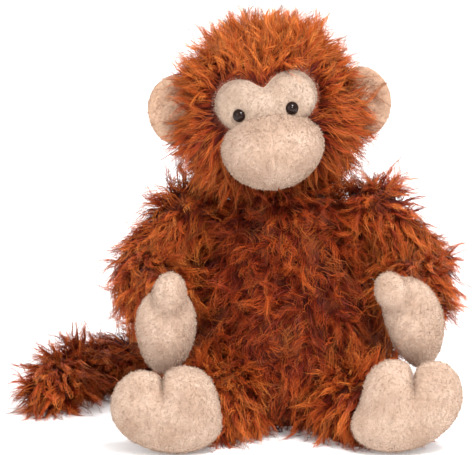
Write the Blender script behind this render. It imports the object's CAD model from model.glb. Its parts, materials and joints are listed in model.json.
"""A sitting plush monkey: long shaggy fur, short-pile beige plush and button eyes."""
import json
import math

import bmesh
import bpy
import numpy as np
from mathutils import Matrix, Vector


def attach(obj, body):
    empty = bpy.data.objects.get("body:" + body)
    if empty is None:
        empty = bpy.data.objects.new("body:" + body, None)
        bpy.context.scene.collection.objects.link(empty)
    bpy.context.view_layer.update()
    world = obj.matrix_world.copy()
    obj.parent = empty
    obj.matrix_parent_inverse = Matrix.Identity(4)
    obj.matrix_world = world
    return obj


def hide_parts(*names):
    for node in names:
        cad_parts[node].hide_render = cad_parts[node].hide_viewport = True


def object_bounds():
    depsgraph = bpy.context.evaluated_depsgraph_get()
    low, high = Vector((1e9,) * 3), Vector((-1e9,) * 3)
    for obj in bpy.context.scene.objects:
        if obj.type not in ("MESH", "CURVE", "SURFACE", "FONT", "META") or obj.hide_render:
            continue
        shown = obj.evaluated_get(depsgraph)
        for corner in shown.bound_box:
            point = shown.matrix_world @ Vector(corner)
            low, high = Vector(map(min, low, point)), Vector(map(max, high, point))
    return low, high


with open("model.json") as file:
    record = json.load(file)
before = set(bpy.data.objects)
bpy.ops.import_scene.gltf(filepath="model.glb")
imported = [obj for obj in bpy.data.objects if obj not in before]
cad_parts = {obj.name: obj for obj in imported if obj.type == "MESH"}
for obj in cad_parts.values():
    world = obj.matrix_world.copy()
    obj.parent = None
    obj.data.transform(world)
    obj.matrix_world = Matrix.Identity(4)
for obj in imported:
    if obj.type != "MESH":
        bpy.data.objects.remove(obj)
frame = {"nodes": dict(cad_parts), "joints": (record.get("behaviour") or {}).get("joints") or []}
CAD_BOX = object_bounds()

# Everything below is worked out in millimetres and made in metres.
MM = 0.001
SIDES = {"left": 1, "right": -1}
JOINTS = {joint["name"]: joint for joint in frame["joints"]}
NECK = np.array(JOINTS["head_turn"]["pos_m"]) / MM
HEAD_LEAN = math.radians(-7)
HEAD_ABOVE_NECK = np.array([0.0, -2.0, 40.0])
HEAD_RADIUS = 57.0

# Fur may stand out of the CAD box by this much and by this share of the box's size.
ROOM = 9.0
ROOM_SHARE = 0.028
FLOOR_GAP = 0.4  # the lowest that fur may hang above the floor


def limits():
    """Lowest and highest corner that fur may reach, in millimetres."""
    low, high = [np.array(corner) / MM for corner in CAD_BOX]
    spare = ROOM_SHARE * (high - low) + ROOM
    low, high = low - spare, high + spare
    low[2] = FLOOR_GAP
    return low, high


LOW, HIGH = limits()


# ---------------------------------------------------------------- geometry helpers

def unit(vectors):
    """The vectors made one long."""
    return vectors / np.maximum(np.linalg.norm(vectors, axis=-1, keepdims=True), 1e-9)


def about_y(angle):
    """The matrix of a turn about the Y axis."""
    c, s = math.cos(angle), math.sin(angle)
    return np.array([[c, 0, s], [0, 1, 0], [-s, 0, c]])


LEAN = about_y(HEAD_LEAN)
HEAD = NECK + LEAN @ HEAD_ABOVE_NECK


def to_head(points):
    """World points in the head's own upright frame."""
    return (points - HEAD) @ LEAN


def from_head(points):
    """Points in the head's own frame, in the world."""
    return points @ LEAN.T + HEAD


def smooth_step(value):
    """Rises from nought to one as the value does, level at both ends."""
    value = np.clip(value, 0, 1)
    return value * value * (3 - 2 * value)


def smooth_min(first, second, softness):
    """The nearer of two distances, rounded where they meet."""
    share = np.clip(0.5 + 0.5 * (second - first) / softness, 0, 1)
    return second + (first - second) * share - softness * share * (1 - share)


def ellipsoid(points, centre, size, tilt=0.0):
    """Rough distance to an ellipsoid that is turned about the Y axis by the tilt in degrees."""
    local = (points - np.array(centre)) @ about_y(math.radians(tilt))
    reach = np.linalg.norm(local / np.array(size), axis=-1)
    return (reach - 1) * min(size)


def sphere_grid(level):
    """Directions spread over a sphere, and the triangles between them."""
    bm = bmesh.new()
    bmesh.ops.create_icosphere(bm, subdivisions=level, radius=1)
    verts = np.array([v.co[:] for v in bm.verts])
    faces = np.array([[v.index for v in f.verts] for f in bm.faces])
    bm.free()
    return unit(verts), faces


SEARCH_STEPS = 90
HALVINGS = 14


def star(distance, centre, reach, level):
    """The surface where the distance is nought, seen from the centre in every direction."""
    rays, faces = sphere_grid(level)
    centre = np.array(centre, float)
    steps = np.linspace(0, reach, SEARCH_STEPS)
    inside = np.array([distance(centre + rays * step) < 0 for step in steps])
    last = len(steps) - 1 - np.argmax(inside[::-1], axis=0)
    low, high = steps[last], steps[np.minimum(last + 1, len(steps) - 1)]
    for _ in range(HALVINGS):
        middle = (low + high) / 2
        within = distance(centre + rays * middle[:, None]) < 0
        low = np.where(within, middle, low)
        high = np.where(within, high, middle)
    return centre + rays * low[:, None], faces


def resampled(points, count):
    """Evenly spaced points along a smooth curve through the points."""
    points = np.array(points, float)
    padded = np.vstack([2 * points[0] - points[1], points, 2 * points[-1] - points[-2]])
    fine = []
    for a, b, c, d in zip(padded, padded[1:], padded[2:], padded[3:]):
        t = np.linspace(0, 1, 40, endpoint=False)[:, None]
        fine.append(0.5 * (2 * b + (c - a) * t + (2 * a - 5 * b + 4 * c - d) * t ** 2
                           + (3 * b - a - 3 * c + d) * t ** 3))
    fine = np.vstack(fine + [points[-1:]])
    run = np.concatenate([[0], np.cumsum(np.linalg.norm(np.diff(fine, axis=0), axis=1))])
    even = np.linspace(0, run[-1], count)
    return np.stack([np.interp(even, run, fine[:, k]) for k in range(fine.shape[1])], axis=1)


def ring_faces(rings, around):
    """Triangles between rings of points that follow each other."""
    faces = []
    for ring in range(rings - 1):
        for k in range(around):
            a, b = ring * around + k, ring * around + (k + 1) % around
            faces.append((a, b, b + around))
            faces.append((a, b + around, a + around))
    return faces


def tube(points, radii, rings=40, around=40):
    """A limb of round section along a smooth curve, with round ends. radii go with the points."""
    path = resampled(np.column_stack([points, radii]), rings)
    line, radius = path[:, :3], path[:, 3]
    heading = unit(np.gradient(line, axis=0))
    dome = 10
    angle = np.linspace(0, math.pi / 2, dome, endpoint=False)
    centres = np.vstack([line[0] - heading[0] * radius[0] * np.cos(angle)[:, None], line,
                         line[-1] + heading[-1] * radius[-1] * np.sin(angle[1:])[:, None]])
    sizes = np.concatenate([radius[0] * np.sin(angle), radius, radius[-1] * np.cos(angle[1:])])
    headings = np.vstack([np.repeat(heading[:1], dome, 0), heading, np.repeat(heading[-1:], dome - 1, 0)])
    side = unit(np.cross(headings, [0, 0, 1.0]))
    top = np.cross(side, headings)
    turn = np.linspace(0, 2 * math.pi, around, endpoint=False)
    wave = side[:, None] * np.cos(turn)[None, :, None] - top[:, None] * np.sin(turn)[None, :, None]
    verts = (centres[:, None] + wave * np.maximum(sizes, 0.2)[:, None, None]).reshape(-1, 3)
    faces = ring_faces(len(centres), around)
    ends = np.vstack([centres[0], line[-1] + heading[-1] * radius[-1]])
    last = (len(centres) - 1) * around
    for k in range(around):
        faces.append((len(verts), (k + 1) % around, k))
        faces.append((len(verts) + 1, last + k, last + (k + 1) % around))
    return np.vstack([verts, ends]), np.array(faces)


def lathe(outline, rings=70, around=72):
    """A closed body turned about the Z axis from (radius, height) points."""
    path = resampled(outline, rings)
    turn = np.linspace(0, 2 * math.pi, around, endpoint=False)
    circle = np.stack([np.cos(turn), np.sin(turn)], axis=1)
    heights = np.repeat(path[:, None, 1:], around, 1)
    verts = np.concatenate([path[:, None, :1] * circle[None], heights], axis=2).reshape(-1, 3)
    faces = ring_faces(rings, around)
    last = (rings - 1) * around
    for k in range(around):
        faces.append((len(verts), (k + 1) % around, k))
        faces.append((len(verts) + 1, last + k, last + (k + 1) % around))
    ends = [[0, 0, path[0, 1]], [0, 0, path[-1, 1]]]
    return np.vstack([verts, ends]), np.array(faces)


def vertex_normals(skin):
    """The outward direction at each point of a skin."""
    verts, faces = skin
    corners = verts[faces]
    cross = np.cross(corners[:, 1] - corners[:, 0], corners[:, 2] - corners[:, 0])
    normals = np.zeros_like(verts)
    for k in range(3):
        np.add.at(normals, faces[:, k], cross)
    return unit(normals)


def make_object(name, skin, material, body, replaces=()):
    """A smooth mesh piece from a skin in millimetres, placed on its body."""
    verts, faces = skin
    mesh = bpy.data.meshes.new(name)
    mesh.from_pydata((verts * MM).tolist(), [], np.asarray(faces).tolist())
    mesh.polygons.foreach_set("use_smooth", np.ones(len(mesh.polygons), bool))
    mesh.update()
    return enlist(name, mesh, material, body, replaces)


def enlist(name, mesh, material, body, replaces):
    """Puts a mesh in the scene and says what it rides on, stands for and is made of."""
    mesh.materials.append(material)
    piece = bpy.data.objects.new(name, mesh)
    bpy.context.scene.collection.objects.link(piece)
    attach(piece, body)
    if replaces:
        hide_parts(*replaces)
    return piece


# ---------------------------------------------------------------- materials

def new_material(name):
    """A material with its node tree and its shader."""
    material = bpy.data.materials.new(name)
    material.use_nodes = True
    tree = material.node_tree
    return material, tree, tree.nodes["Principled BSDF"]


def ramp_node(tree, stops):
    """A colour ramp through (place, colour) stops."""
    ramp = tree.nodes.new("ShaderNodeValToRGB")
    ramp.color_ramp.interpolation = "EASE"
    elements = ramp.color_ramp.elements
    while len(elements) < len(stops):
        elements.new(0.5)
    for element, (place, colour) in zip(elements, stops):
        element.position = place
        element.color = (*colour, 1)
    return ramp


def mixed(tree, kind, factor, first, second):
    """A colour mix node. first and second are sockets or colours, factor a socket or a number."""
    mix = tree.nodes.new("ShaderNodeMix")
    mix.data_type = "RGBA"
    mix.blend_type = kind
    for socket, value in ((mix.inputs[0], factor), (mix.inputs[6], first), (mix.inputs[7], second)):
        if isinstance(value, (int, float, tuple)):
            socket.default_value = (*value, 1) if isinstance(value, tuple) else value
        else:
            tree.links.new(value, socket)
    return mix.outputs[2]


def strand_material(name, along, shade, roughness, sheen):
    """For strands: colour goes from root to tip by the ramp along, and from strand to strand by shade."""
    material, tree, shader = new_material(name)
    uv = tree.nodes.new("ShaderNodeUVMap")
    uv.uv_map = "OFBake"
    parts = tree.nodes.new("ShaderNodeSeparateXYZ")
    tree.links.new(uv.outputs[0], parts.inputs[0])
    length_ramp, shade_ramp = ramp_node(tree, along), ramp_node(tree, shade)
    tree.links.new(parts.outputs[1], length_ramp.inputs[0])
    tree.links.new(parts.outputs[0], shade_ramp.inputs[0])
    colour = mixed(tree, "MULTIPLY", 1.0, length_ramp.outputs[0], shade_ramp.outputs[0])
    tree.links.new(colour, shader.inputs["Base Color"])
    shader.inputs["Roughness"].default_value = roughness
    shader.inputs["Sheen Weight"].default_value = sheen
    shader.inputs["Sheen Roughness"].default_value = 0.4
    shader.inputs["Specular IOR Level"].default_value = 0.15
    return material


def cloth_material(name, dark, light, grain, bump, sheen=0.4, roughness=0.9):
    """Short pile or woven cloth: blotches of two tones, a fine grain and its bump."""
    material, tree, shader = new_material(name)
    where = tree.nodes.new("ShaderNodeTexCoord")
    blotch = tree.nodes.new("ShaderNodeTexNoise")
    blotch.inputs["Scale"].default_value = 45
    blotch.inputs["Detail"].default_value = 3
    pile = tree.nodes.new("ShaderNodeTexNoise")
    pile.inputs["Scale"].default_value = grain
    pile.inputs["Detail"].default_value = 4
    for noise in (blotch, pile):
        tree.links.new(where.outputs["Object"], noise.inputs["Vector"])
    tone = ramp_node(tree, [(0.35, dark), (0.65, light)])
    tree.links.new(blotch.outputs[0], tone.inputs[0])
    speck = ramp_node(tree, [(0.3, (0.86, 0.82, 0.79)), (0.6, (1, 1, 1))])
    tree.links.new(pile.outputs[0], speck.inputs[0])
    colour = mixed(tree, "MULTIPLY", 1.0, tone.outputs[0], speck.outputs[0])
    tree.links.new(colour, shader.inputs["Base Color"])
    height = tree.nodes.new("ShaderNodeBump")
    height.inputs["Strength"].default_value = bump
    height.inputs["Distance"].default_value = 0.0006
    tree.links.new(pile.outputs[0], height.inputs["Height"])
    tree.links.new(height.outputs[0], shader.inputs["Normal"])
    shader.inputs["Roughness"].default_value = roughness
    shader.inputs["Sheen Weight"].default_value = sheen
    shader.inputs["Sheen Roughness"].default_value = 0.5
    shader.inputs["Specular IOR Level"].default_value = 0.2
    return material


def gloss_material(name, colour, roughness):
    """Moulded plastic with the faintest unevenness in its gloss."""
    material, tree, shader = new_material(name)
    where = tree.nodes.new("ShaderNodeTexCoord")
    noise = tree.nodes.new("ShaderNodeTexNoise")
    noise.inputs["Scale"].default_value = 900
    tree.links.new(where.outputs["Object"], noise.inputs["Vector"])
    tone = ramp_node(tree, [(0.3, colour), (0.7, tuple(1.5 * c for c in colour))])
    tree.links.new(noise.outputs[0], tone.inputs[0])
    tree.links.new(tone.outputs[0], shader.inputs["Base Color"])
    shader.inputs["Roughness"].default_value = roughness
    shader.inputs["Specular IOR Level"].default_value = 0.22
    return material


FUR = strand_material(
    "long_fur",
    [(0.0, (0.06, 0.005, 0.002)), (0.35, (0.24, 0.028, 0.005)),
     (0.75, (0.58, 0.125, 0.018)), (1.0, (0.76, 0.25, 0.055))],
    [(0.0, (0.30, 0.14, 0.12)), (0.4, (0.66, 0.42, 0.38)),
     (0.72, (0.98, 0.95, 0.95)), (1.0, (1.2, 1.6, 2.0))],
    0.55, 0.0)
STRAY = strand_material(
    "stray_fur",
    [(0.0, (0.30, 0.05, 0.008)), (0.5, (0.48, 0.11, 0.018)),
     (0.8, (0.24, 0.065, 0.013)), (1.0, (0.06, 0.025, 0.008))],
    [(0.0, (0.7, 0.7, 0.7)), (1.0, (1.0, 1.0, 1.0))],
    0.55, 0.0)
BACKING = cloth_material("fur_backing", (0.10, 0.014, 0.004), (0.20, 0.035, 0.008), 900, 0.5, 0.1)
PLUSH = cloth_material("beige_plush", (0.45, 0.31, 0.23), (0.56, 0.415, 0.325), 1300, 0.45, 0.15)
FACE_PLUSH = cloth_material("face_plush", (0.38, 0.27, 0.20), (0.48, 0.36, 0.28), 1300, 0.45, 0.15)
EAR_PLUSH = cloth_material("ear_plush", (0.47, 0.295, 0.20), (0.57, 0.385, 0.27), 1300, 0.45, 0.15)
FUZZ = strand_material(
    "plush_fuzz",
    [(0.0, (0.41, 0.27, 0.195)), (0.5, (0.51, 0.37, 0.28)), (1.0, (0.62, 0.485, 0.385))],
    [(0.0, (0.90, 0.87, 0.84)), (1.0, (1.0, 1.0, 1.0))],
    0.8, 0.1)
FACE_FUZZ = strand_material(
    "face_fuzz",
    [(0.0, (0.34, 0.23, 0.165)), (0.5, (0.44, 0.32, 0.24)), (1.0, (0.56, 0.44, 0.35))],
    [(0.0, (0.86, 0.83, 0.80)), (1.0, (1.0, 1.0, 1.0))],
    0.8, 0.1)
EAR_FUZZ = strand_material(
    "ear_fuzz",
    [(0.0, (0.44, 0.26, 0.17)), (0.5, (0.56, 0.36, 0.25)), (1.0, (0.68, 0.49, 0.36))],
    [(0.0, (0.90, 0.87, 0.84)), (1.0, (1.0, 1.0, 1.0))],
    0.8, 0.1)
EYE = gloss_material("button_eye", (0.010, 0.0035, 0.002), 0.09)
WASHER = gloss_material("washer_plastic", (0.6, 0.6, 0.58), 0.45)
FILLING = cloth_material("polyester_fill", (0.78, 0.78, 0.75), (0.9, 0.9, 0.88), 300, 0.8)
BAG = cloth_material("bag_cloth", (0.55, 0.55, 0.50), (0.65, 0.65, 0.6), 1500, 0.3)


# ---------------------------------------------------------------- strands

# Strands on one piece: the torso and the head have two pieces each, the limbs one each.
FUR_COUNT = {"torso": 18000, "head": 17000, "arm": 15000, "leg": 13000, "tail": 18000}
FUZZ_COUNT = {"brow": 9000, "muzzle": 26000, "ear": 9000, "hand": 22000, "foot": 28000}
BLOCK = 4000  # points that are compared with all the seeds at a time


def scatter(skin, count, rng, keep):
    """Points with normals spread evenly over the part of a skin that keep allows."""
    verts, faces = skin
    normals = vertex_normals(skin)
    corners = verts[faces]
    area = np.linalg.norm(np.cross(corners[:, 1] - corners[:, 0], corners[:, 2] - corners[:, 0]), axis=1)
    area = area * keep(corners.mean(axis=1))
    pick = rng.choice(len(faces), count, p=area / area.sum())
    a, b = rng.random(count), rng.random(count)
    over = a + b > 1
    a[over], b[over] = 1 - a[over], 1 - b[over]
    share = np.stack([1 - a - b, a, b], axis=1)[:, :, None]
    points = (corners[pick] * share).sum(axis=1)
    facing = unit((normals[faces[pick]] * share).sum(axis=1))
    return points, facing


def nearest(points, seeds):
    """Which seed is nearest to each point."""
    near = np.empty(len(points), int)
    size = (seeds ** 2).sum(axis=1)
    for start in range(0, len(points), BLOCK):
        block = points[start:start + BLOCK]
        near[start:start + BLOCK] = (size[None] - 2 * block @ seeds.T).argmin(axis=1)
    return near


LONGEST = 1.5  # a lock's length is never more than this times its fur's usual length


def tuft_noise(points, look, rng):
    """Random directions that neighbouring locks share in part, so that they gather in tufts."""
    count = max(len(points) // look["per_tuft"], 3)
    tuft = nearest(points, points[rng.permutation(len(points))[:count]])
    shared = rng.normal(size=(count, 3))[tuft]
    return 0.8 * shared + 0.6 * rng.normal(size=points.shape), rng.uniform(0.8, 1.25, count)[tuft]


def guide_paths(roots, normals, flow, look, rng, segments):
    """The middle line of each lock: it leaves the skin, turns with the flow, sags and curls."""
    count = len(roots)
    t = np.linspace(0, 1, segments + 1)
    noise, tuft_length = tuft_noise(roots, look, rng)
    varied = rng.uniform(0.65, 1.35, count) * tuft_length * look["growth"](roots)
    length = look["length"] * np.minimum(varied, LONGEST)
    start = unit(look["lift"] * normals + flow + look["stray"] * noise)
    paths = np.zeros((count, segments + 1, 3))
    heading = start
    place = roots.copy()
    paths[:, 0] = roots
    drift = look["stray"] * (0.5 * noise + 0.6 * rng.normal(size=(count, 3)))
    for k in range(1, segments + 1):
        heading = unit(heading + (drift + flow * 0.5 + np.array([0, 0, -look["sag"]])) / segments)
        place = place + heading * (length / segments)[:, None]
        paths[:, k] = place
    across = unit(np.cross(start, rng.normal(size=(count, 3))))
    up = np.cross(start, across)
    turns = look["waves"] * rng.uniform(0.7, 1.3, count)[:, None]
    phase = rng.uniform(0, 2 * math.pi, count)[:, None]
    swing = look["curl"] * rng.uniform(0.4, 1.3, count)[:, None] * np.minimum(t * 3, 1)[None]
    angle = 2 * math.pi * turns * t[None] + phase
    paths += (swing * np.cos(angle))[:, :, None] * across[:, None]
    paths += (swing * np.sin(angle))[:, :, None] * up[:, None]
    return paths


def strands(skin, count, look, flow, keep, seed):
    """Middle lines of strands gathered in locks, their outward directions and a shade for each."""
    rng = np.random.default_rng(seed)
    segments = look["segments"]
    seeds, seed_normals = scatter(skin, max(int(count / look["per_lock"]), 4), rng, keep)
    guides = guide_paths(seeds, seed_normals, flow(seeds, seed_normals), look, rng, segments)
    roots, normals = scatter(skin, count, rng, keep)
    lock = nearest(roots, seeds)
    t = np.linspace(0, 1, segments + 1)[None, :, None]
    spread = rng.normal(size=(count, 1, 3)) * look["frizz"]
    scale = rng.uniform(0.55, 1.1, count)[:, None, None]
    course = guides[lock] - guides[lock][:, :1]
    pull = (seeds[lock] - roots)[:, None] * look["pull"] * t
    wobble = np.cross(normals, rng.normal(size=(count, 3)))[:, None]
    wave = np.sin(2 * math.pi * (1.6 * t + rng.random((count, 1, 1)))) * look["frizz"] * 0.35 * t
    paths = roots[:, None] + course * scale + pull + spread * t ** 1.5 + wobble * wave
    lock_shade = rng.beta(1.5, 1.2, len(seeds))
    shade = np.clip(0.65 * lock_shade[lock] + 0.35 * rng.random(count) + look["tone"](roots), 0.02, 0.98)
    return paths, normals, shade, rng


def kept_in(paths):
    """Shortens strands that would leave the allowed box, and lays those that reach the floor on it."""
    roots, course = paths[:, :1], paths - paths[:, :1]
    over = course.max(axis=1) / np.maximum(HIGH - roots[:, 0], 1e-6)
    under = -course[:, :, :2].min(axis=1) / np.maximum(roots[:, 0, :2] - LOW[:2], 1e-6)
    share = 1 / np.maximum(np.hstack([over, under]).max(axis=1), 1)
    return np.clip(roots + course * share[:, None, None], LOW, HIGH)


def ribbons(name, paths, normals, shade, width, material, body, rng):
    """Tapered ribbons along the paths, made as one mesh."""
    count, levels, _ = paths.shape
    paths = kept_in(paths)
    heading = unit(np.gradient(paths, axis=1))
    across = unit(np.cross(heading, normals[:, None] + 0.55 * rng.normal(size=(count, 1, 3))))
    t = np.linspace(0, 1, levels)
    half = 0.5 * width * rng.uniform(0.7, 1.25, (count, 1)) * (1 - 0.75 * t[None] ** 1.5)
    pairs = levels - 1
    left = paths[:, :pairs] - across[:, :pairs] * half[:, :pairs, None]
    right = paths[:, :pairs] + across[:, :pairs] * half[:, :pairs, None]
    verts = np.concatenate([np.stack([left, right], axis=2).reshape(count, -1, 3), paths[:, -1:]], axis=1)
    per = 2 * pairs + 1
    corners = []
    for k in range(pairs - 1):
        corners += [2 * k, 2 * k + 1, 2 * k + 3, 2 * k + 2]
    corners += [2 * pairs - 2, 2 * pairs - 1, 2 * pairs]
    corners = np.array(corners)
    sizes = np.array([4] * (pairs - 1) + [3])
    loops = (np.arange(count)[:, None] * per + corners[None]).ravel()
    totals = np.tile(sizes, count)
    starts = np.concatenate([[0], np.cumsum(totals)[:-1]])
    mesh = bpy.data.meshes.new(name)
    mesh.vertices.add(count * per)
    mesh.vertices.foreach_set("co", (np.clip(verts, LOW, HIGH) * MM).astype(np.float32).ravel())
    mesh.loops.add(len(loops))
    mesh.loops.foreach_set("vertex_index", loops.astype(np.int32))
    mesh.polygons.add(len(totals))
    mesh.polygons.foreach_set("loop_start", starts.astype(np.int32))
    mesh.polygons.foreach_set("use_smooth", np.ones(len(totals), bool))
    mesh.update(calc_edges=True)
    heights = np.append(np.repeat(t[:pairs], 2), 1.0)[corners]
    uv = np.empty((len(loops), 2), np.float32)
    uv[:, 0] = np.repeat(shade, len(corners))
    uv[:, 1] = np.clip(np.tile(heights, count), 0.01, 0.99)
    mesh.uv_layers.new(name="OFBake").data.foreach_set("uv", uv.ravel())
    return enlist(name, mesh, material, body, ())


def clear_of(paths, solids):
    """Which strands stay out of the given solids, each a distance function of points."""
    fine = np.ones(len(paths), bool)
    for solid in solids:
        for k in range(1, paths.shape[1]):
            fine &= solid(paths[:, k]) > -1.0
    return fine


def everywhere(points):
    """The same weight at all points."""
    return np.ones(len(points))


def plain_tone(points):
    """No change of shade at any point."""
    return np.zeros(len(points))


LOOK = {"length": 22.0, "lift": 0.75, "stray": 0.35, "sag": 0.5, "waves": 1.1, "curl": 1.6, "frizz": 1.1,
        "pull": 0.8, "per_lock": 22, "per_tuft": 7, "segments": 6, "width": 0.5,
        "growth": everywhere, "tone": plain_tone}
STRAY_SEED = 500  # set apart from the seeds of the fur itself


def grow_fur(name, body, skin, count, flow, seed, keep=everywhere, avoid=(), strays=0.0, **changes):
    """Long fur on a skin, and a few dark stray hairs that stand further out."""
    look = {**LOOK, **changes}
    paths, normals, shade, rng = strands(skin, count, look, flow, keep, seed)
    fine = clear_of(paths, avoid)
    ribbons(name, paths[fine], normals[fine], shade[fine], look["width"], FUR, body, rng)
    if strays:
        longer = {**look, "length": look["length"] * 1.3, "lift": look["lift"] + 0.6, "per_lock": 6,
                  "curl": look["curl"] * 1.4, "frizz": look["frizz"] * 0.22, "per_tuft": 2}
        paths, normals, shade, rng = strands(skin, int(count * strays), longer, flow, keep, seed + STRAY_SEED)
        fine = clear_of(paths, avoid)
        ribbons(name + "_strays", paths[fine], normals[fine], shade[fine], look["width"] * 0.85, STRAY, body,
                rng)


def grow_fuzz(name, body, skin, count, seed, keep=everywhere, material=FUZZ):
    """The short pile of plush."""
    look = {**LOOK, "length": 1.5, "lift": 1.2, "sag": 0.1, "waves": 0.3, "curl": 0.05, "frizz": 0.25,
            "pull": 0.35, "per_lock": 4, "segments": 2, "width": 0.26}
    paths, normals, shade, rng = strands(skin, count, look, lambda p, n: np.zeros_like(p), keep, seed)
    ribbons(name, paths, normals, shade, look["width"], material, body, rng)


def along_skin(direction, normals):
    """The part of a direction that lies in the skin."""
    return direction - normals * (direction * normals).sum(axis=-1, keepdims=True)


# ---------------------------------------------------------------- torso

# (radius, height) from the seat to the neck
TORSO_OUTLINE = [(38, 3), (52, 4), (67, 15), (77.5, 42), (73, 78), (59, 115), (46, 146), (38, 166), (26, 177)]


def down_flow(points, normals):
    """Hanging with swirls, and standing outwards round the neck."""
    swirl = np.stack([np.sin(points[:, 2] / 11 + points[:, 1] / 17), np.zeros(len(points)),
                      np.cos(points[:, 0] / 12 + points[:, 2] / 19)], axis=1)
    top = smooth_step((points[:, 2:3] - 140) / 25)
    outward = unit(points * [1, 1, 0])
    hang = np.array([0, 0, -1.0]) * (1 - top) + (outward * 0.8 + np.array([0, 0, 0.4])) * top
    return along_skin(hang + 0.55 * swirl * (1 - top), normals)


def torso_length(points):
    """Fur is long round the neck and short by the floor."""
    top = smooth_step((points[:, 2] - 135) / 30)
    foot = smooth_step((50 - points[:, 2]) / 35)
    armpit = np.exp(-((points[:, 2] - 105) / 22) ** 2)
    return 1 + 0.6 * top - 0.6 * foot + 0.2 * armpit


def torso_tone(points):
    """Deep red in front and between the legs, brighter behind."""
    foot = smooth_step((60 - points[:, 2]) / 40)
    front = smooth_step((20 - points[:, 1]) / 40)
    return -0.12 - 0.16 * front - 0.22 * foot


def make_torso():
    skin = lathe(TORSO_OUTLINE)
    stands_for = ("torso_front_cover", "torso_back_cover", "torso_stuffing", "seat_panel")
    make_object("torso_skin", skin, BACKING, "torso", stands_for)

    def above_floor(points):
        return (points[:, 2] > 5) * 1.0

    def front(points):
        return above_floor(points) * (points[:, 1] < 0)

    def back(points):
        return above_floor(points) * (points[:, 1] >= 0)

    for name, keep, seed in (("torso_front_fur", front, 1), ("torso_back_fur", back, 2)):
        grow_fur(name, "torso", skin, FUR_COUNT["torso"], down_flow, seed, keep, MUZZLE_SOLID, 0.06,
                 length=25, curl=2.6, waves=1.7, stray=0.75, per_lock=10, frizz=1.3, width=0.46,
                 growth=torso_length, tone=torso_tone)


# ---------------------------------------------------------------- head

# All in the head's own frame; the brow's circles and the eyes are given sideways and upwards.
MUZZLE_CENTRE = np.array([-0.7, -50.0, -25.8])
MUZZLE_REACH = (37.6, 33.5, 29.0)
MUZZLE_TILT = -2.0
BROW_CIRCLES = [((17.6, 11.2), 20.2), ((-20.5, 8.8), 20.2), ((-1.5, -6.0), 27.0)]
BROW_SUNK = 2.5  # how far the edge of the brow lies below the head's surface
BROW_CROWN = 6.0  # how far its middle rises above that edge
BROW_THICKNESS = 2.0
EYE_SPOTS = {"left": (16.8, 4.2), "right": (-21.6, 3.2)}
EYE_HOLLOW = 2.2
EYE_RADIUS = 5.0
EYE_DOME = 4.2
EYE_RIM = [(4.3, -1.8), (4.9, -0.8)]
EYE_LIFT = 1.6


def muzzle_distance(local):
    """In the head's frame: an egg, wider above, with a fold where its two halves are sewn."""
    above = (local[:, 2] - MUZZLE_CENTRE[2]) / MUZZLE_REACH[2]
    egg = local.copy()
    egg[:, 0] /= 1 + 0.07 * np.clip(above, -1, 1)
    egg[:, 2] += 1.5 * np.clip(above, 0, 1) * (egg[:, 0] / 30) ** 2
    fold = 0.5 * np.exp(-(local[:, 0] / 0.8) ** 2)
    return ellipsoid(egg, MUZZLE_CENTRE, MUZZLE_REACH, MUZZLE_TILT) + fold


def muzzle_solid(points):
    """Distance to the muzzle from points in the world."""
    return muzzle_distance(to_head(points))


MUZZLE_SOLID = (muzzle_solid,)


def brow_distance(local):
    """Sideways and upwards distance to the outline of the brow panel, below nought inside it."""
    gaps = [np.hypot(local[:, 0] - c[0], local[:, 2] - c[1]) - r for c, r in BROW_CIRCLES]
    left, right = [smooth_min(gaps[lobe], gaps[2], 5) for lobe in (0, 1)]
    return np.where(local[:, 1] < 0, smooth_min(left, right, 0.5), 99)


def head_flow(points, normals):
    """Away from the notch of the brow, over the crown and down the back and cheeks, with swirls."""
    local = to_head(points)
    away = local - np.array([0, -HEAD_RADIUS, -4.0])
    away[:, 1] *= 0.5
    cheek = smooth_step((10 - local[:, 2:3]) / 30)
    flow = unit(away) + np.array([0, 0, -0.45]) * cheek
    behind = smooth_step((local[:, 1:2] - 5) / 40)
    flow = flow * (1 - behind) + np.array([0, 0.2, -1.0]) * behind
    x, y, z = local.T
    swirl = np.stack([np.sin(z / 7 + y / 13), np.sin(x / 9 - z / 11), np.cos(x / 8 + y / 10)], axis=1)
    return along_skin((flow + 0.38 * swirl) @ LEAN.T, normals)


def make_head():
    rays, faces = sphere_grid(6)
    jowl = 1 + 0.17 * smooth_step((0.15 - rays[:, 2]) / 0.5)
    skin = from_head(rays * (HEAD_RADIUS - 2) * np.column_stack([jowl, np.ones((len(rays), 2))])), faces
    make_object("head_skin", skin, BACKING, "head", ("head_left_cover", "head_right_cover"))

    def hairy(points):
        local = to_head(points)
        off_face = brow_distance(local) > 0.3
        off_muzzle = muzzle_distance(local * 1.02) > -1.5
        return (off_face & off_muzzle) * 1.0

    def near_face(points):
        return hairy(points) * (to_head(points)[:, 1] < 0)

    def back(points):
        return hairy(points) * (to_head(points)[:, 1] >= 0)

    def brow_solid(points):
        local = to_head(points)
        sunk = np.linalg.norm(local, axis=1) - HEAD_RADIUS - 3
        return np.maximum(brow_distance(local) + 1.5, sunk)

    def length_by_height(points):
        up = to_head(points)[:, 2]
        return 1 + 0.65 * smooth_step((-up - 5) / 30) + 0.1 * smooth_step((up - 30) / 25)

    def tone(points):
        up = to_head(points)[:, 2]
        return 0.2 * smooth_step((up - 5) / 30) - 0.12 * smooth_step((10 - up) / 30)

    for name, keep, seed in (("head_front_fur", near_face, 11), ("head_back_fur", back, 12)):
        grow_fur(name, "head", skin, FUR_COUNT["head"], head_flow, seed, keep,
                 (muzzle_solid, brow_solid), 0.2,
                 length=21.5, lift=0.9, curl=1.6, waves=1.2, stray=0.5, sag=0.15, per_lock=11, frizz=1.2,
                 growth=length_by_height, tone=tone)
    make_brow()
    make_muzzle()
    make_ears()


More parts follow.
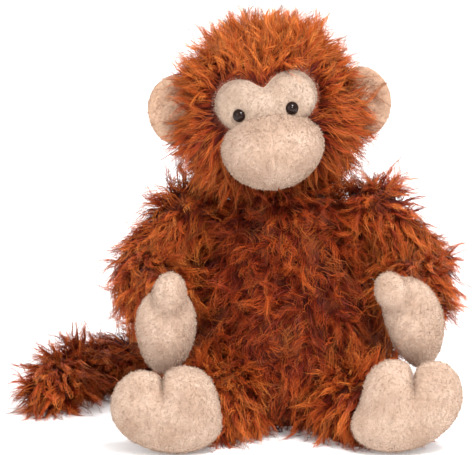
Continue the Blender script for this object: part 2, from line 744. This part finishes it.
def make_brow():
    """A crowned panel with two lobes, sunk round the eyes and tucked into the fur at its edge."""
    rays, faces = sphere_grid(7)
    edge = brow_distance(rays * HEAD_RADIUS)
    inside = edge < 3.5
    faces = faces[inside[faces].all(axis=1)]
    used = np.unique(faces)
    renumber = np.full(len(rays), -1)
    renumber[used] = np.arange(len(used))
    rays, faces, edge = rays[used], renumber[faces], edge[used]
    radius = HEAD_RADIUS - BROW_SUNK + BROW_CROWN * smooth_step((2.0 - edge) / 9.0)
    for across, up in EYE_SPOTS.values():
        gap = np.hypot(rays[:, 0] * HEAD_RADIUS - across, rays[:, 2] * HEAD_RADIUS - up)
        radius -= EYE_HOLLOW * np.exp(-(gap / 7.0) ** 2)
    skin = from_head(rays * radius[:, None]), faces
    panel = make_object("brow_plush", skin, FACE_PLUSH, "head", ("face_panel",))
    solid = panel.modifiers.new("thickness", "SOLIDIFY")
    solid.thickness = BROW_THICKNESS * MM
    solid.offset = -1
    make_applied(panel)
    grow_fuzz("brow_fuzz", "head", skin, FUZZ_COUNT["brow"], 13,
              lambda p: (brow_distance(to_head(p)) < 1.0) * 1.0, FACE_FUZZ)
    for side in SIDES:
        make_eye(side)


def make_applied(piece):
    """Turns a piece's modifiers into its mesh."""
    graph = bpy.context.evaluated_depsgraph_get()
    old = piece.data
    piece.data = bpy.data.meshes.new_from_object(piece.evaluated_get(graph))
    piece.modifiers.clear()
    bpy.data.meshes.remove(old)


def make_eye(side):
    """A domed button on the sunken plush."""
    across, up = EYE_SPOTS[side]
    depth = -math.sqrt(HEAD_RADIUS ** 2 - across ** 2 - up ** 2)
    outward = unit(np.array([across, depth, up]))
    turn = np.linspace(0, math.pi / 2, 14)
    dome = [(EYE_RADIUS * math.cos(a), EYE_DOME * math.sin(a)) for a in turn[:-1]]
    verts, faces = lathe(EYE_RIM + dome + [(0.05, EYE_DOME)], 30, 40)
    sideways = unit(np.cross([0, 0, 1.0], outward))
    axes = np.stack([sideways, np.cross(outward, sideways), outward])
    verts = from_head(verts @ axes + outward * (HEAD_RADIUS + EYE_LIFT))
    make_object(f"eye_{side}_button", (verts, faces), EYE, "head", (f"eye_{side}",))


def make_muzzle():
    """The whole egg, with pile where it stands out of the head and off its seam."""
    skin = star(muzzle_distance, MUZZLE_CENTRE, 60, 7)
    placed = from_head(skin[0]), skin[1]
    make_object("muzzle_plush", placed, PLUSH, "head",
                ("muzzle_left_cover", "muzzle_right_cover", "muzzle_stuffing"))

    def outside(points):
        local = to_head(points)
        off_seam = np.abs(local[:, 0]) > 0.5
        return ((np.linalg.norm(local, axis=1) > HEAD_RADIUS - 1) & off_seam) * 1.0

    grow_fuzz("muzzle_fuzz", "head", placed, FUZZ_COUNT["muzzle"], 14, outside)


EAR_SIZE = (22.0, 7.0, 26.5)
EAR_OUT = 69.0
EAR_UP = {"left": -7.0, "right": 3.0}
EAR_HOLLOW = 2.6


def make_ears():
    """Flat discs, hollowed in front inside a soft rim."""
    for side, sign in SIDES.items():
        centre = np.array([EAR_OUT * sign, 2.0, EAR_UP[side]])

        def ear(local, centre=centre):
            whole = ellipsoid(local, centre, EAR_SIZE)
            around = np.hypot((local[:, 0] - centre[0]) / EAR_SIZE[0],
                              (local[:, 2] - centre[2]) / EAR_SIZE[2])
            hollow = EAR_HOLLOW * (1 - smooth_step((around - 0.35) / 0.5)) * (local[:, 1] < centre[1])
            return whole + hollow

        skin = star(ear, centre + [0, 1.5, 0], 30, 6)
        placed = from_head(skin[0]), skin[1]
        make_object(f"ear_{side}_plush", placed, EAR_PLUSH, "head", (f"ear_{side}_front", f"ear_{side}_back"))
        grow_fuzz(f"ear_{side}_fuzz", "head", placed, FUZZ_COUNT["ear"], 15 + sign,
                  lambda p: (np.linalg.norm(to_head(p), axis=1) > HEAD_RADIUS) * 1.0, EAR_FUZZ)


# ---------------------------------------------------------------- limbs

SHOULDER = (65, 2, 157)
ELBOW = {"left": (96, -8, 118), "right": (-101, -8, 118)}
CUFF = {"left": (97, -46, 104), "right": (-95, -46, 103)}
LEG_LINE = [(40, -60, 27.5), (54, -80, 27), (72, -86, 27)]
TAIL_PATH = [(-40, 62, 21), (-84, 86, 21), (-130, 84, 20), (-163, 55, 19), (-177, 12, 18)]
# Half-thickness at each point of the lines above, from root to end.
ARM_RADII = [20.0, 20.5, 19.5]
LEG_RADII = [24.0, 24.0, 22.5]
TAIL_RADII = [17.5, 17.5, 17.0, 16.0, 14.0]


def limb_flow(points_on_limb, hang, ahead_share=1.0):
    """Along the limb from its root to its end, and downwards."""
    line = resampled(points_on_limb, 60)
    heading = unit(np.gradient(line, axis=0))

    def flow(points, normals):
        ahead = heading[nearest(points, line)]
        return along_skin(ahead * ahead_share + np.array([0, 0, -hang]), normals)

    return flow


def mirrored(point, sign):
    """The point on the side that the sign gives."""
    return (point[0] * sign, point[1], point[2])


def shoulder_share(points):
    """Nought along the arm, one on top of the shoulder."""
    return smooth_step((points[:, 2] - 148) / 24)


def arm_flow(line):
    """Down the arm, but standing up on top of the shoulder, where the fur covers the seam."""
    along = limb_flow(line, 0.7)

    def flow(points, normals):
        return along(points, normals) * (1 - 0.9 * shoulder_share(points)[:, None])

    return flow


def arm_growth(points):
    """Longer fur on top of the shoulder, but short next to the neck."""
    inner = smooth_step((78 - np.abs(points[:, 0])) / 12)
    return 1 + (0.25 - 0.5 * inner) * shoulder_share(points)


def make_arms():
    for side, sign in SIDES.items():
        line = [mirrored(SHOULDER, sign), ELBOW[side], CUFF[side]]
        skin = tube(line, ARM_RADII)
        body = f"arm_{side}"
        make_object(f"{body}_skin", skin, BACKING, body, (f"{body}_cover", f"{body}_stuffing"))
        grow_fur(f"{body}_fur", body, skin, FUR_COUNT["arm"], arm_flow(line), 24 + sign,
                 avoid=(HAND_SOLIDS[side],), strays=0.14, length=25, lift=0.85, curl=2.2, waves=1.5,
                 stray=0.6, per_lock=12, growth=arm_growth)


def make_legs():
    for side, sign in SIDES.items():
        line = [mirrored(point, sign) for point in LEG_LINE]
        skin = tube(line, LEG_RADII, 30)
        body = f"leg_{side}"
        make_object(f"{body}_skin", skin, BACKING, body, (f"{body}_cover", f"{body}_stuffing"))
        grow_fur(f"{body}_fur", body, skin, FUR_COUNT["leg"], limb_flow(line, 1.0, 0.25), 30 + sign,
                 avoid=(FOOT_SOLIDS[side],), strays=0.1, length=25, lift=0.9, curl=2.0, waves=1.5, stray=0.5,
                 per_lock=12)


def make_tail():
    skin = tube(TAIL_PATH, TAIL_RADII, 60)
    make_object("tail_skin", skin, BACKING, "tail", ("tail_cover", "tail_stuffing"))
    grow_fur("tail_fur", "tail", skin, FUR_COUNT["tail"], limb_flow(TAIL_PATH, 0.1), 40, strays=0.14,
             length=25, lift=1.0, curl=1.8, waves=1.4, stray=0.5, per_lock=12)


# ---------------------------------------------------------------- hands and feet

# Each hand: a palm that tapers to the finger end and a thumb on its upper part, each as
# (centre, half-sizes, tilt).
PALM = {"left": ((96, -82, 89.5), (20.8, 13.5, 35.0), -16),
        "right": ((-89, -82, 83), (21.6, 13.5, 32.5), 3)}
THUMB = {"left": ((79, -90, 114), (12.0, 9.5, 15.5), -26),
         "right": ((-86, -89, 112.0), (12.0, 9.5, 17.0), 4)}
PALM_TAPER = 0.18


def hand_distance(side):
    """The distance function of a hand."""
    centre, size, tilt = PALM[side]

    def distance(points):
        height = np.clip((points[:, 2] - centre[2]) / size[2], -1, 1)
        tapered = points.copy()
        tapered[:, 0] = centre[0] + (points[:, 0] - centre[0]) / (1 + PALM_TAPER * height)
        palm = ellipsoid(tapered, centre, size, tilt)
        pad = ellipsoid(points, (centre[0], centre[1] - 6, centre[2] - 8), (16, 11, 19), tilt)
        return smooth_min(smooth_min(palm, pad, 3), ellipsoid(points, *THUMB[side]), 3)

    return distance


HAND_SOLIDS = {side: hand_distance(side) for side in SIDES}


def make_hands():
    for side, sign in SIDES.items():
        centre = np.array(PALM[side][0]) + [-3 * sign, -2, 8]
        skin = star(HAND_SOLIDS[side], centre, 60, 7)
        body = f"hand_{side}"
        make_object(f"{body}_plush", skin, PLUSH, body, (f"{body}_palm", f"{body}_back", f"{body}_stuffing"))
        grow_fuzz(f"{body}_fuzz", body, skin, FUZZ_COUNT["hand"], 50 + sign)


FOOT_DEPTH = -127.0
FOOT_CENTRE = (88.5, 32.0)  # outwards, up
# Heel, outer toe and inner toe of each foot, as (centre, half-sizes, tilt) from the foot's centre.
TOES = {
    "left": (((-2.5, 0, -5), (38, 15.5, 24), -14), ((20.5, -1, 14.5), (20.5, 15, 23.5), 8),
             ((-10, -1, 15), (21, 15.5, 24), 9)),
    "right": (((-2.5, 0, -6), (38.5, 15.5, 24.5), -8), ((16.5, -1, 7.5), (22, 15, 23), 4),
              ((-14, -1, 10.5), (23, 15.5, 23.5), -3)),
}
CLEFT = {"left": 5.2, "right": 2.8}  # outwards from the foot's centre
CLEFT_DEPTH = 3.0


def foot_distance(side):
    """The distance function of a foot, with the cleft between its toes."""
    sign = SIDES[side]
    middle = np.array([FOOT_CENTRE[0], FOOT_DEPTH, FOOT_CENTRE[1]])

    def distance(points):
        local = points * [sign, 1, 1] - middle
        heel, outer, inner = [ellipsoid(local, *lobe) for lobe in TOES[side]]
        toes = smooth_min(outer, inner, 1.0)
        across = np.exp(-((local[:, 0] - CLEFT[side]) / 1.8) ** 2)
        cleft = CLEFT_DEPTH * across * smooth_step((local[:, 2] - 4) / 22)
        return smooth_min(heel, toes, 7) + cleft

    return distance


FOOT_SOLIDS = {side: foot_distance(side) for side in SIDES}


def make_feet():
    for side, sign in SIDES.items():
        skin = star(FOOT_SOLIDS[side], (FOOT_CENTRE[0] * sign, FOOT_DEPTH, FOOT_CENTRE[1]), 70, 7)
        body = f"foot_{side}"
        make_object(f"{body}_plush", skin, PLUSH, body, (f"{body}_sole", f"{body}_top", f"{body}_stuffing"))
        grow_fuzz(f"{body}_fuzz", body, skin, FUZZ_COUNT["foot"], 60 + sign)


# ---------------------------------------------------------------- carried-over pieces and stage

def dress_hidden_nodes():
    """The pieces inside the covers keep their CAD shapes."""
    for name, node in frame["nodes"].items():
        if "washer" in name:
            material = WASHER
        elif name == "pellet_bag":
            material = BAG
        elif name == "neck_collar":
            material = BACKING
        else:
            material = FILLING
        node.data.materials.clear()
        node.data.materials.append(material)


# Lengths from here on are in metres, but the lens and the sensor are in millimetres.
FLOOR_SIZE = 12.0
WORLD_LIGHT = 0.75
LIGHT_AIM = Vector((0, 0, 0.14))
# (name, place, diameter, power)
LIGHTS = [("key", (0.55, -1.25, 1.8), 0.7, 52), ("fill", (-1.3, -1.3, 0.8), 1.2, 8),
          ("rear", (0.2, 1.6, 2.2), 1.6, 60), ("spark", (0.5, -1.7, 1.0), 0.1, 5)]


def floor_material():
    """A pale matt floor that glows a little."""
    material, _, shader = new_material("pale_floor")
    shader.inputs["Base Color"].default_value = (0.92, 0.92, 0.92, 1)
    shader.inputs["Roughness"].default_value = 0.9
    shader.inputs["Emission Color"].default_value = (1, 1, 1, 1)
    shader.inputs["Emission Strength"].default_value = 0.2
    return material


def make_stage():
    mesh = bpy.data.meshes.new("floor")
    corners = [(FLOOR_SIZE * x, FLOOR_SIZE * y, 0) for x, y in ((-1, -1), (1, -1), (1, 1), (-1, 1))]
    mesh.from_pydata(corners, [], [(0, 1, 2, 3)])
    mesh.materials.append(floor_material())
    floor = bpy.data.objects.new("floor", mesh)
    bpy.context.scene.collection.objects.link(floor)
    world = bpy.data.worlds.new("studio")
    bpy.context.scene.world = world
    world.use_nodes = True
    background = world.node_tree.nodes["Background"]
    background.inputs[0].default_value = (1, 1, 1, 1)
    background.inputs[1].default_value = WORLD_LIGHT
    for light in LIGHTS:
        add_light(*light)


def add_light(name, place, size, power):
    data = bpy.data.lights.new(name, "AREA")
    data.shape = "DISK"
    data.size = size
    data.energy = power
    light = bpy.data.objects.new(name, data)
    light.location = place
    aim = LIGHT_AIM - Vector(place)
    light.rotation_euler = aim.to_track_quat("-Z", "Y").to_euler()
    bpy.context.scene.collection.objects.link(light)


CAMERA_RISE = math.radians(11)
FRAME_WIDTH = 0.356
CAMERA_LENS = 450.0
SENSOR_WIDTH = 36.0
AIM = Vector((-0.0356, -0.030, 0.1515))


def make_camera():
    data = bpy.data.cameras.new("camera")
    data.lens = CAMERA_LENS
    data.sensor_width = SENSOR_WIDTH
    distance = FRAME_WIDTH * CAMERA_LENS / SENSOR_WIDTH
    camera = bpy.data.objects.new("camera", data)
    back = Vector((0, -math.cos(CAMERA_RISE), math.sin(CAMERA_RISE)))
    camera.location = AIM + back * distance
    camera.rotation_euler = (-back).to_track_quat("-Z", "Y").to_euler()
    bpy.context.scene.collection.objects.link(camera)
    bpy.context.scene.camera = camera


bpy.context.scene.view_settings.view_transform = "Standard"
make_camera()
make_stage()
dress_hidden_nodes()
make_torso()
make_head()
make_arms()
make_legs()
make_tail()
make_hands()
make_feet()
